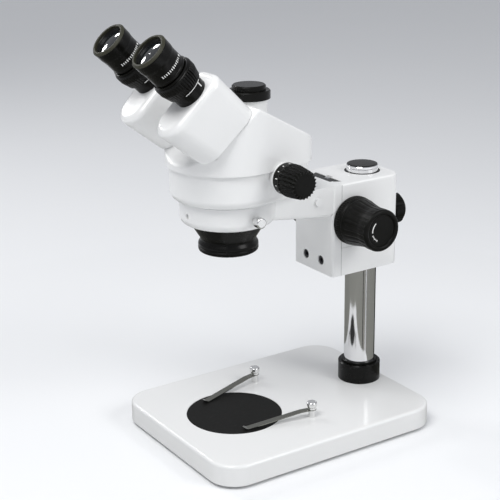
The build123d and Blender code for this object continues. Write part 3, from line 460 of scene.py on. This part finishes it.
knob_plastic = moulded_black()
right = Vector((1, 0, 0))
sides = (("right", 1), ("left", -1))
start = point_of("focus_knob_turn") * Vector((0, 1, 1))
knob_ribs = 24
knob_rib_depth = 0.00045
grip_length = 0.0355
knob_rim = 0.009                 # length of the knob's thicker end
dish_radius = 0.0155
hub_radius = 0.0036
boss_face = 0.0427               # where the left knob meets the block's boss
boss_recess = 0.0112             # radius of the recess round that boss
skirt_radius = widest("focus_knob_right", start, right, -1, 1)
for word, side in sides:
    way = right * side
    name = "focus_knob_" + word
    inner, outer = reach(name, start, way)
    grip = outer - grip_length
    knob_waist = widest(name, start, way, grip + 0.021, grip + 0.023) + 0.0003
    rim_radius = widest(name, start, way, outer - 0.008, outer)
    dish_floor = reach("focus_knob_caps", start, way)[1] - 0.0014
    profile = [(hub_radius, grip), (skirt_radius - 0.0008, grip), (skirt_radius, grip + 0.0009),
               (skirt_radius - 0.0006, grip + 0.003), (knob_waist + 0.0016, grip + 0.009),
               (knob_waist + 0.0003, grip + 0.017), (knob_waist, grip + 0.022),
               (rim_radius, outer - knob_rim), (rim_radius, outer - 0.0016), (rim_radius - 0.0014, outer),
               (dish_radius + 0.0014, outer), (dish_radius, outer - 0.0012), (dish_radius, dish_floor),
               (0, dish_floor)]
    if side < 0:
        flange_radius = widest(name, start, way, inner, inner + 0.008)
        profile[0:3] = [(hub_radius, boss_face), (boss_recess, boss_face), (boss_recess, inner),
                        (flange_radius - 0.0008, inner), (flange_radius, inner + 0.0008),
                        (flange_radius, inner + 0.0055), (skirt_radius + 0.0002, grip)]
    profile = divided(softened(profile, 0.0012), 0.0011)
    knob = turned(name + "_moulded", start, way, profile, knob_plastic, "focus_drive",
                  around=knob_ribs * 16,
                  shape=ribbed(knob_ribs, knob_rib_depth, grip + 0.0035, outer - 0.0022, 0.0016, 0.3))
    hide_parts(name)


def printed(name, start, way, zero, marks, finish, body):
    """Thin curved bars of paint.  Each mark holds its inner and outer radius, its first and last angle from
    the direction zero in degrees, and its lowest and highest place along way."""
    other = way.cross(zero)
    points = []
    faces = []
    for inner_radius, outer_radius, first, last, low, high in marks:
        steps = max(1, math.ceil((last - first) / 4))
        for step in range(steps + 1):
            angle = math.radians(first + (last - first) * step / steps)
            out = zero * math.cos(angle) + other * math.sin(angle)
            if step:
                older = len(points) - 4
                newer = len(points)
                for i in range(4):
                    following = (i + 1) % 4
                    faces.append([older + i, older + following, newer + following, newer + i])
            else:
                faces.append([len(points) + i for i in range(4)])
            points += [start + out * inner_radius + way * low, start + out * outer_radius + way * low,
                       start + out * outer_radius + way * high, start + out * inner_radius + way * high]
        faces.append([len(points) - 1 - i for i in range(4)])
    return fitted(name, points, faces, finish, body)


def marking_paint():
    paint = Finish("marking_paint", Specular_IOR_Level=0.3)
    wear = paint.noise(900, 4)
    paint.set(Base_Color=paint.blend(wear, (0.74, 0.74, 0.72), (0.88, 0.88, 0.86)),
              Roughness=0.45 + 0.2 * wear)
    return paint.material


marking = marking_paint()
paint_depth = 0.00012
paint_proud = 0.00004
arc_radius = 0.0098
arc_width = 0.0011
toward_user = Vector((0, -1, 0))
for word, side in sides:
    way = right * side
    face = reach("focus_knob_caps", start, way)[1]
    rows = [(arc_radius, arc_radius + arc_width, -52, 4, face - paint_depth, face + paint_proud)]
    for tick in range(9):
        first = 18 + tick * 5.4
        width = arc_width * (1.6 if tick % 4 == 0 else 1.0)
        rows.append((arc_radius, arc_radius + width, first, first + 3,
                     face - paint_depth, face + paint_proud))
    printed("focus_knob_marks_" + word, start, way, toward_user, rows, marking, "focus_drive")

inner, outer = reach("tension_ring", start, right)
ring_low, ring_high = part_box("tension_ring")
ring_radius = (ring_high.z - ring_low.z) / 2
ring_bore = 0.01005
ring_ribs = 60
ring_rib_depth = 0.0006
profile = [(ring_bore, inner), (ring_radius - 0.0012, inner), (ring_radius, inner + 0.0009),
           (ring_radius, inner + 0.0056), (ring_radius - 0.0014, outer - 0.001),
           (ring_radius - 0.0026, outer), (ring_bore, outer), (ring_bore, inner)]
ring = turned("tension_ring_moulded", start, right, divided(softened(profile, 0.0009), 0.0011), knob_plastic,
              "tension_ring", around=ring_ribs * 8,
              shape=ribbed(ring_ribs, ring_rib_depth, inner + 0.001, inner + 0.0072, 0.001, 0.5))
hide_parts("tension_ring")

start = point_of("zoom_knob_turn") * Vector((0, 1, 1))
flutes = 24
flute_depth = 0.0014
shaft_bore = 0.00302
for word, side in sides:
    way = right * side
    name = "zoom_knob_" + word
    inner, outer = reach(name, start, way)
    base_radius = widest(name, start, way, inner, outer)
    tip_radius = base_radius - 0.002
    collar_radius = base_radius - 0.0006
    profile = [(shaft_bore, inner), (base_radius - 0.0014, inner), (collar_radius, inner + 0.0008),
               (collar_radius, inner + 0.0086), (base_radius - 0.0001, inner + 0.0094),
               (base_radius, inner + 0.013), (tip_radius + 0.0001, outer - 0.0017),
               (tip_radius - 0.0014, outer - 0.0004), (tip_radius - 0.006, outer - 0.0001), (0, outer)]
    knob = turned(name + "_moulded", start, way, divided(softened(profile, 0.0008), 0.0012), knob_plastic,
                  "zoom_drive", around=flutes * 16,
                  shape=fluted(flutes, flute_depth, inner + 0.0092, outer + 0.002, 0.0014))
    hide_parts(name)
    rows = []
    for tick in range(7):
        middle = tick * 26 - 90
        mark_end = 0.0076 if tick % 3 == 0 else 0.0066
        rows.append((collar_radius - paint_depth, collar_radius + paint_proud, middle - 1.5, middle + 1.5,
                     inner + 0.0048, inner + mark_end))
    printed("zoom_knob_marks_" + word, start, way, toward_user, rows, marking, "zoom_drive")

coat(knob_plastic, "focus_knob_caps", "clamp_knob")


# ------------------------------------------------------------------ eyepieces and their tubes
# Aluminium turnings, black anodised and lightly polished.  The diopter ring is grooved for the fingers and
# carries a white index, and the eyepiece has a scale engraved round it and a soft rim at the eye.
def black_anodised():
    metal = Finish("black_anodised", Specular_IOR_Level=0.2)
    tone = metal.noise(60, 4)
    lathe = metal.noise(1800, 2)
    metal.set(Base_Color=metal.blend(tone, (0.0015, 0.0015, 0.0012), (0.004, 0.004, 0.0032)),
              Roughness=0.2 + 0.13 * tone,
              Normal=metal.relief(lathe, 0.00001, 0.35))
    return metal.material


def rim_rubber():
    rubber = Finish("rim_rubber", Specular_IOR_Level=0.25)
    grain = rubber.noise(2400, 3)
    tone = rubber.noise(130, 4)
    rubber.set(Base_Color=rubber.blend(tone, (0.024, 0.024, 0.015), (0.042, 0.041, 0.027)),
               Roughness=0.42 + 0.16 * tone,
               Normal=rubber.relief(grain, 0.00003, 0.6))
    return rubber.material


def finger_grooves(low, high, fade):
    """Groups of six wide deep grooves, with shallow ones between the groups."""
    def shape(angle, radius, along):
        turn = (math.degrees(angle) + 14) % 120
        slot = abs((turn + 4) % 8 - 4)
        depth = 0.001 if turn < 44 else 0.00035
        groove = depth * (1 - eased(slot, 1.1, 2.3))
        return radius - groove * between(along, low, high, fade)
    return shape


anodised = black_anodised()
eye_rubber = rim_rubber()
coat(anodised, "eye_sleeve_right", "eye_sleeve_left", "diopter_tube_right", "diopter_tube_left",
     "zoom_carriage", "rod_bridge", "dovetail_slide")
barrel_wall = 0.0018
eye_rim_length = 0.0122
cup_depth = 0.0045
rim_flat = 0.0031                # width of the rim's end face
guard_length = 0.0026
scale_drop = 0.0085              # from the rim to the middle of the scale
engraving = 0.0003
for word in ("right", "left"):
    tube = point_of("diopter_ring_turn_" + word)
    way = way_of("diopter_ring_turn_" + word)
    start = tube - way * tube.dot(way)
    name = "eyepiece_" + word
    bottom, top = reach(name, start, way)
    shoulder = reach("diopter_tube_" + word, start, way)[1] + 0.0003
    barrel = widest(name, start, way, bottom, bottom + 0.002)
    body_radius = widest(name, start, way, shoulder - 0.0002, shoulder + 0.001)
    rim = widest(name, start, way, top - 0.006, top)
    rim_start = top - eye_rim_length
    lens_edge = widest("eye_lens_" + word, start, way, top - 0.012, top)
    lens_hole = lens_edge + 0.0001
    seat = top - cup_depth
    guard_start = top - guard_length
    cup_radius = rim - rim_flat - 0.0004
    barrel_bore = barrel - barrel_wall
    profile = [(barrel_bore, bottom), (barrel, bottom), (barrel, shoulder),
               (body_radius - 0.0005, shoulder), (body_radius, shoulder + 0.0005),
               (body_radius, shoulder + 0.0026), (body_radius - 0.0004, shoulder + 0.0029),
               (body_radius - 0.0004, shoulder + 0.0035), (body_radius, shoulder + 0.0038),
               (body_radius, rim_start - 0.0052), (body_radius + 0.0003, rim_start - 0.0012),
               (rim - 0.0004, rim_start + 0.0012), (rim - 0.0002, guard_start - 0.0003),
               (rim - 0.0006, guard_start), (cup_radius, guard_start), (lens_edge + 0.0009, seat),
               (lens_hole, seat - 0.0002), (lens_hole, seat - 0.0034),
               (barrel_bore, seat - 0.0045), (barrel_bore, bottom)]
    body = turned(name + "_body", start, way, softened(profile[:-1], 0.0005) + profile[-1:], anodised, name,
                  around=144)
    profile = [(cup_radius, guard_start), (rim - 0.0004, guard_start), (rim, guard_start + 0.0004),
               (rim, top - 0.0018), (rim - 0.0014, top - 0.0002), (rim - 0.0019, top),
               (rim - rim_flat, top), (cup_radius, top - 0.0004), (cup_radius, guard_start)]
    guard = turned(name + "_rim", start, way, softened(profile, 0.0005), eye_rubber, name, around=144)
    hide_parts(name)

    scale_middle = rim_start - scale_drop
    cut, proud = body_radius - engraving, body_radius + paint_proud
    rows = []
    for tick in range(12):
        middle = (tick - 6) * 7.2 + 4
        half = 0.0013 if tick % 3 == 0 else 0.001
        rows.append((cut, proud, middle - 1.4, middle + 1.4, scale_middle - half, scale_middle + half))
    rows.append((cut, proud, 50, 57, scale_middle - 0.0016, scale_middle + 0.0004))
    printed("eyepiece_scale_" + word, start, way, right, rows, marking, name)

    name = "diopter_ring_" + word
    bottom, top = reach(name, start, way)
    low_radius = widest(name, start, way, bottom, bottom + 0.001)
    grip_radius = widest(name, start, way, bottom + 0.009, top)
    bore = widest("diopter_tube_" + word, start, way, bottom, top) + 0.0001
    hollow = grip_radius - 0.0029
    lip = top - 0.0044
    profile = [(hollow, bottom), (low_radius - 0.0003, bottom), (low_radius, bottom + 0.0003),
               (low_radius, bottom + 0.0012), (grip_radius - 0.0004, bottom + 0.0072),
               (grip_radius, bottom + 0.0086), (grip_radius, top - 0.0018), (grip_radius - 0.0016, top),
               (bore, top), (bore, lip), (hollow, lip), (hollow, bottom)]
    ring = turned(name + "_grooved", start, way, divided(softened(profile, 0.0006), 0.0012), anodised, name,
                  around=360, shape=finger_grooves(bottom + 0.002, top - 0.0006, 0.0014), zero=right)
    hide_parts(name)
    rows = [(low_radius - paint_depth, low_radius + paint_proud, -30, 33, bottom + 0.0004, bottom + 0.0009)]
    printed("diopter_line_" + word, start, way, right, rows, marking, name)

    neck_radius = widest("eye_sleeve_" + word, start, way, bottom - 0.012, bottom - 0.001)
    rows = [(neck_radius - paint_depth, neck_radius + paint_proud, 28, 33, bottom - 0.0068, bottom - 0.0004)]
    printed("diopter_index_" + word, start, way, right, rows, marking, "pod_" + word)


# ------------------------------------------------------------------ lenses and prisms
# Polished optical glass with a thin violet-green antireflection coating.  The lenses sit in their plates
# and eyepieces, and each prism is seated on the rear wall of its pod.
def coated_glass():
    glass = Finish("coated_glass", Transmission_Weight=0.94, IOR=1.52, Coat_Weight=0.35,
                   Coat_Roughness=0.02, Coat_Tint=(0.75, 0.78, 0.9, 1))
    smear = glass.noise(120, 4)
    glass.set(Base_Color=glass.blend(smear, (0.80, 0.88, 0.90), (0.86, 0.93, 0.93)),
              Roughness=0.01 + 0.03 * smear)
    return glass.material


def painted_shade_glass():
    """Lens before a blackened tube, coloured almost black as painted shade: only what it mirrors shows."""
    glass = Finish("painted_shade_glass", Specular_IOR_Level=0.6, Coat_Roughness=0.02, Coat_Weight=0.3)
    smear = glass.noise(160, 4)
    glass.set(Base_Color=glass.blend(smear, (0.003, 0.004, 0.005), (0.012, 0.014, 0.016)),
              Roughness=0.03 + 0.05 * smear)
    return glass.material


coat(coated_glass(), "objective_lenses", "zoom_lenses", "prism_right", "prism_left")
# The eye lenses are coloured almost black: painted shade for the dark tube behind them.
coat(painted_shade_glass(), "eye_lens_right", "eye_lens_left")


# ------------------------------------------------------------------ clips, screws and small metal
# Hardened spring steel strips that turn under nickel plated posts, blackened socket screws, and the turned
# steel shafts, bronze bushes and nylon plugs inside.
def brushed_metal(name, low_tone, high_tone, roughness):
    metal = Finish(name, Metallic=1.0)
    brushed = metal.noise(700, 4, metal.stretched(1, 8, 1))
    metal.set(Base_Color=metal.blend(brushed, low_tone, high_tone),
              Roughness=roughness + 0.14 * brushed,
              Normal=metal.relief(brushed, 0.00002, 0.4))
    return metal.material


spring_steel = brushed_metal("spring_steel", (0.15, 0.15, 0.13), (0.3, 0.3, 0.27), 0.12)
coat(spring_steel, "clip_leaf_right", "clip_leaf_left")
nickel = brushed_metal("nickel_plate", (0.74, 0.74, 0.74), (0.86, 0.86, 0.85), 0.1)
coat(nickel, "clip_posts", "clip_spacers", "thumb_screw")
coat(enamel, "bracket_screws")
turned_steel = brushed_metal("turned_steel", (0.45, 0.46, 0.48), (0.6, 0.6, 0.62), 0.25)
coat(turned_steel, "pinion_shaft", "zoom_shaft", "guide_rods", "focus_rack", "clamp_stud")
blackened_steel = brushed_metal("blackened_steel", (0.05, 0.05, 0.055), (0.11, 0.11, 0.115), 0.35)
coat(blackened_steel, "plate_screws", "body_screws", "pillar_bolt")
bronze = brushed_metal("bearing_bronze", (0.5, 0.33, 0.14), (0.62, 0.44, 0.2), 0.3)
coat(bronze, "pinion_bushes", "gib_strip")
coat(knob_plastic, "bore_liner", "clamp_plug", "thumb_plug")


# ------------------------------------------------------------------ boss of the arm's screw
# Low boss cast on the arm's side round the head of its screw, and enamelled with the arm.  The screw's head
# stands a little proud of it.
screws = [vertex.co for vertex in nodes["bracket_screws"].data.vertices]
screw_face = max(point.x for point in screws)
arm_screw = [point for point in screws if point.x > screw_face - 0.0001]
arm_axis = Vector((0, sum(point.y for point in arm_screw) / len(arm_screw),
                   sum(point.z for point in arm_screw) / len(arm_screw)))
arm_side = screw_face - 0.0025
boss_top = arm_side + 0.0012
boss_bore = 0.0026
boss_radius = 0.0041
profile = [(boss_bore, arm_side), (boss_radius, arm_side), (0.0036, arm_side + 0.0009), (0.0032, boss_top),
           (boss_bore, boss_top), (boss_bore, arm_side)]
boss = turned("arm_screw_boss", arm_axis, right, profile, enamel, "bracket", around=64)


# ------------------------------------------------------------------ painted shade between the castings
# A thin black ring between the head and its ring, and two thin black strips between the block and the
# front plate.  Both are painted shade: dark pieces that stand in for the shadow in these narrow gaps.
# Painted shade: a nearly black, rough material for the pieces that stand in for shadow in the gaps.
def painted_shade_black():
    shade_black = Finish("painted_shade_black", Specular_IOR_Level=0.1)
    fuzz = shade_black.noise(1800, 4)
    shade_black.set(Base_Color=shade_black.blend(fuzz, (0.004, 0.004, 0.004), (0.02, 0.02, 0.02)),
             Roughness=0.9 + 0.1 * fuzz,
             Normal=shade_black.relief(fuzz, 0.0001, 0.8))
    return shade_black.material


shade_black = painted_shade_black()
# Painted shade: a thin black ring in the gap between the head and its ring, where a shadow line falls.
head_axis = point_of("head_swivel")
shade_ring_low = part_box("head_bracket")[1].z + 0.00004
shade_ring_high = shade_ring_low + 0.0005
shade_ring_in = 0.0384
shade_ring_out = 0.0464
profile = [(shade_ring_in, shade_ring_low), (shade_ring_out, shade_ring_low), (shade_ring_out, shade_ring_high),
           (shade_ring_in, shade_ring_high), (shade_ring_in, shade_ring_low)]
head_shade_ring = turned("head_gap_shade", Vector((head_axis.x, head_axis.y, 0)), up, profile, shade_black, "head", around=160)

block_low, block_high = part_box("focus_block")
slide_half = 0.0235              # half width of the dovetail's opening
plate_half = 0.0324              # half width of the front plate
gap_shade_inset = 0.0002
gap_shade_front = block_low.y - 0.00026
gap_shade_rear = block_low.y - 0.00004
# Painted shade: two thin black strips in the seam between the block and the front plate, where shadow falls.
for word, side in sides:
    x_in = side * slide_half
    x_out = side * plate_half
    points = []
    for z in (block_low.z + gap_shade_inset, block_high.z - gap_shade_inset):
        points += [Vector((x_in, gap_shade_front, z)), Vector((x_out, gap_shade_front, z)),
                   Vector((x_out, gap_shade_rear, z)), Vector((x_in, gap_shade_rear, z))]
    faces = [[0, 1, 2, 3], [4, 5, 6, 7]] + [[i, (i + 1) % 4, (i + 1) % 4 + 4, i + 4] for i in range(4)]
    gap_shade_strip = fitted("block_gap_shade_" + word, points, faces, shade_black, "block")


# ------------------------------------------------------------------ floor, light and camera
# A pale floor that runs on for metres, a large soft lamp from above, one from the side, and two small lamps
# from the left that the eye lenses mirror.  A mat and three cards that only reflections see shade the chrome.
floor_mesh = bpy.data.meshes.new("floor")
half_floor = 6.0
floor_mesh.from_pydata([(-half_floor, -half_floor, 0), (half_floor, -half_floor, 0),
                        (half_floor, half_floor, 0), (-half_floor, half_floor, 0)], [], [(0, 1, 2, 3)])
floor = bpy.data.objects.new("floor", floor_mesh)
bpy.context.scene.collection.objects.link(floor)
ground = Finish("pale_floor", Roughness=0.8, Specular_IOR_Level=0.2)
ground.set(Base_Color=ground.blend(ground.noise(3, 2), (0.86, 0.87, 0.88), (0.88, 0.885, 0.89)))
floor_mesh.materials.append(ground.material)


def lamp(name, azimuth, elevation, distance, size, power, target):
    """Square soft lamp that faces a point of the object."""
    turn = math.radians(azimuth)
    rise = math.radians(elevation)
    away = Vector((math.sin(turn) * math.cos(rise), -math.cos(turn) * math.cos(rise), math.sin(rise)))
    data = bpy.data.lights.new(name, "AREA")
    data.size = size
    data.energy = power
    made = bpy.data.objects.new(name, data)
    made.location = target + away * distance
    made.rotation_mode = "QUATERNION"
    made.rotation_quaternion = (-away).to_track_quat("-Z", "Y")
    bpy.context.scene.collection.objects.link(made)


middle = (cad_box[0] + cad_box[1]) / 2
eyes_low, eyes_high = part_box("eye_lens_right")
eyes = Vector((0, (eyes_low.y + eyes_high.y) / 2, eyes_high.z))
lamp("key_lamp", 25, 58, 1.6, 0.8, 15, middle)
lamp("side_lamp", 118, 32, 1.7, 0.7, 9, middle)
lamp("upper_left_lamp", -85, 33, 1.7, 0.16, 2.6, eyes)
lamp("lower_left_lamp", -74, 21.5, 1.7, 0.16, 2.6, eyes)


def mirrored_only(name, points, face, finish):
    """Flat sheet that only reflections see, so that polished metal has something to show."""
    mesh = bpy.data.meshes.new(name)
    mesh.from_pydata(points, [], [face])
    mesh.materials.append(finish)
    made = bpy.data.objects.new(name, mesh)
    bpy.context.scene.collection.objects.link(made)
    made.visible_camera = False
    made.visible_diffuse = False
    made.visible_shadow = False
    made.visible_transmission = False


olive = Finish("table_mat", Roughness=0.9, Specular_IOR_Level=0.1)
olive.set(Base_Color=olive.blend(olive.noise(8, 2), (0.19, 0.19, 0.17), (0.24, 0.24, 0.215)))
plate_low, plate_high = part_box("base_plate")
plate_middle = (plate_low + plate_high) / 2
mat_radius = 0.6
mat_rise = 0.0004
mat_corners = 96
mat_points = []
for step in range(mat_corners):
    turn = 2 * math.pi * step / mat_corners
    mat_points.append((plate_middle.x + math.cos(turn) * mat_radius,
                       plate_middle.y + math.sin(turn) * mat_radius, mat_rise))
mirrored_only("table_mat", mat_points, list(range(mat_corners)), olive.material)
pale = Finish("pale_card", Roughness=0.9, Specular_IOR_Level=0.1)
pale.set(Base_Color=pale.blend(pale.noise(6, 2), (0.86, 0.86, 0.85), (0.9, 0.9, 0.89)))
card_height = 0.2
for name, finish, distance, first, last in (("dark_card", shade_black, 0.09, 183, 216),
                                            ("pale_card", pale.material, 0.125, 90, 99),
                                            ("narrow_card", shade_black, 0.13, 72, 76)):
    corners = []
    for degrees, height in ((first, 0.0), (last, 0.0), (last, card_height), (first, card_height)):
        turn = math.radians(degrees)
        corners.append((math.sin(turn) * distance, -math.cos(turn) * distance, height))
    mirrored_only(name, corners, [0, 1, 2, 3], finish)

world = bpy.data.worlds.new("studio")
world.use_nodes = True
bpy.context.scene.world = world
sky = world.node_tree.nodes["Background"].inputs
sky["Color"].default_value = (0.93, 0.95, 1.0, 1)
sky["Strength"].default_value = 0.5

camera_azimuth = math.radians(56.925)
camera_elevation = math.radians(18.666)
camera_roll = math.radians(-0.706)
camera_distance = 1.26064
lens_length = 93.098
aim = Vector((plate_middle.x - 0.00762, plate_middle.y - 0.02776, plate_high.z + 0.16438))
back = Vector((math.sin(camera_azimuth) * math.cos(camera_elevation),
               -math.cos(camera_azimuth) * math.cos(camera_elevation), math.sin(camera_elevation)))
camera_data = bpy.data.cameras.new("camera")
camera_data.lens = lens_length
camera_data.sensor_width = 36
camera = bpy.data.objects.new("camera", camera_data)
camera.location = aim + back * camera_distance
camera.rotation_mode = "QUATERNION"
facing = (-back).to_track_quat("-Z", "Y")
camera.rotation_quaternion = facing @ Matrix.Rotation(camera_roll, 3, "Z").to_quaternion()
bpy.context.scene.collection.objects.link(camera)
bpy.context.scene.camera = camera
bpy.context.scene.view_settings.view_transform = "Standard"
